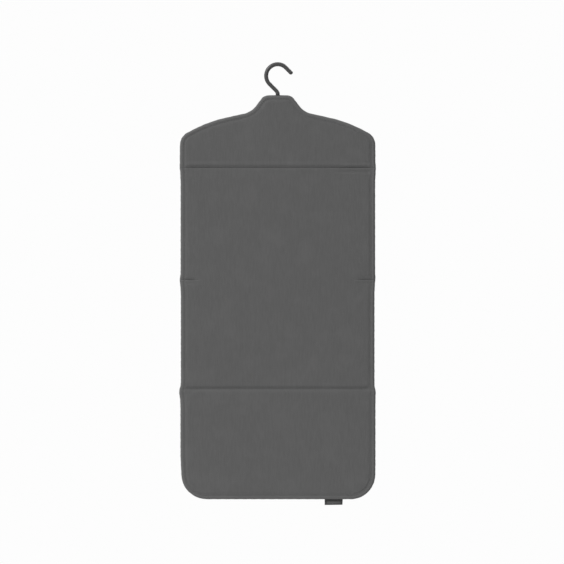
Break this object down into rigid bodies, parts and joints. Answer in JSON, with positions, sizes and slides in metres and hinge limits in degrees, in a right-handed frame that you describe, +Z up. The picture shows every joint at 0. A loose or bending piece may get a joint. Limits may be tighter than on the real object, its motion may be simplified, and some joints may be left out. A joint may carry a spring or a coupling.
{
  "type": "foldable hanging pressing board",
  "caption": "Padded cloth pressing board shaped like a coat hanger at the top, folding into flat sections, hung from a swivel hook.",
  "frame": {"origin": "where the hook rests on its peg, under the middle of its bend", "axes": "+Z up, the board hanging in the XZ plane with its pressing side towards -Y"},
  "size_m": [0.4406, 0.0118, 1.0017],
  "materials": {
    "hook_steel": "plain",
    "hook_sleeve": "matte dark grey",
    "block_plastic": "matte",
    "rivet": "plain",
    "core_board": "plain hardboard",
    "foam": "felted padding",
    "front_cloth": "woven, matte dark grey",
    "back_cloth": "woven, matte dark grey",
    "binding_tape": "woven tape, matte dark grey",
    "hinge_cloth": "woven, matte dark grey",
    "label_cloth": "woven label, blank"
  },
  "bodies": {
    "hook": {"hook_rod": "hook_steel", "hook_sleeve": "hook_sleeve", "hook_collar": "hook_steel"},
    "head_section": {"neck_block": "block_plastic", "neck_rivet_left": "rivet", "neck_rivet_right": "rivet", "head_core": "core_board", "head_padding": "foam", "head_front_cover": "front_cloth", "head_back_cover": "back_cloth", "head_edge_binding": "binding_tape", "fold_upper_strip": "hinge_cloth"},
    "upper_section": {"upper_core": "core_board", "upper_padding": "foam", "upper_front_cover": "front_cloth", "upper_back_cover": "back_cloth", "upper_binding_left": "binding_tape", "upper_binding_right": "binding_tape", "fold_middle_strip": "hinge_cloth"},
    "middle_section": {"middle_core": "core_board", "middle_padding": "foam", "middle_front_cover": "front_cloth", "middle_back_cover": "back_cloth", "middle_binding_left": "binding_tape", "middle_binding_right": "binding_tape", "fold_lower_strip": "hinge_cloth"},
    "lower_section": {"lower_core": "core_board", "lower_padding": "foam", "lower_front_cover": "front_cloth", "lower_back_cover": "back_cloth", "lower_edge_binding": "binding_tape", "label": "label_cloth"}
  },
  "joints": [
    {"name": "hook_swivel", "type": "hinge", "parent": "hook", "child": "head_section", "pos_m": [0, 0, -0.0645], "axis": [0, 0, 1], "range_deg": [-180, 180]},
    {"name": "fold_upper", "type": "hinge", "parent": "head_section", "child": "upper_section", "pos_m": [0, -0.0065, -0.229], "axis": [-1, 0, 0], "range_deg": [0, 179]},
    {"name": "fold_middle", "type": "hinge", "parent": "upper_section", "child": "middle_section", "pos_m": [0, 0.0063, -0.4795], "axis": [1, 0, 0], "range_deg": [0, 179]},
    {"name": "fold_lower", "type": "hinge", "parent": "middle_section", "child": "lower_section", "pos_m": [0, -0.0065, -0.73], "axis": [-1, 0, 0], "range_deg": [0, 179]}
  ]
}
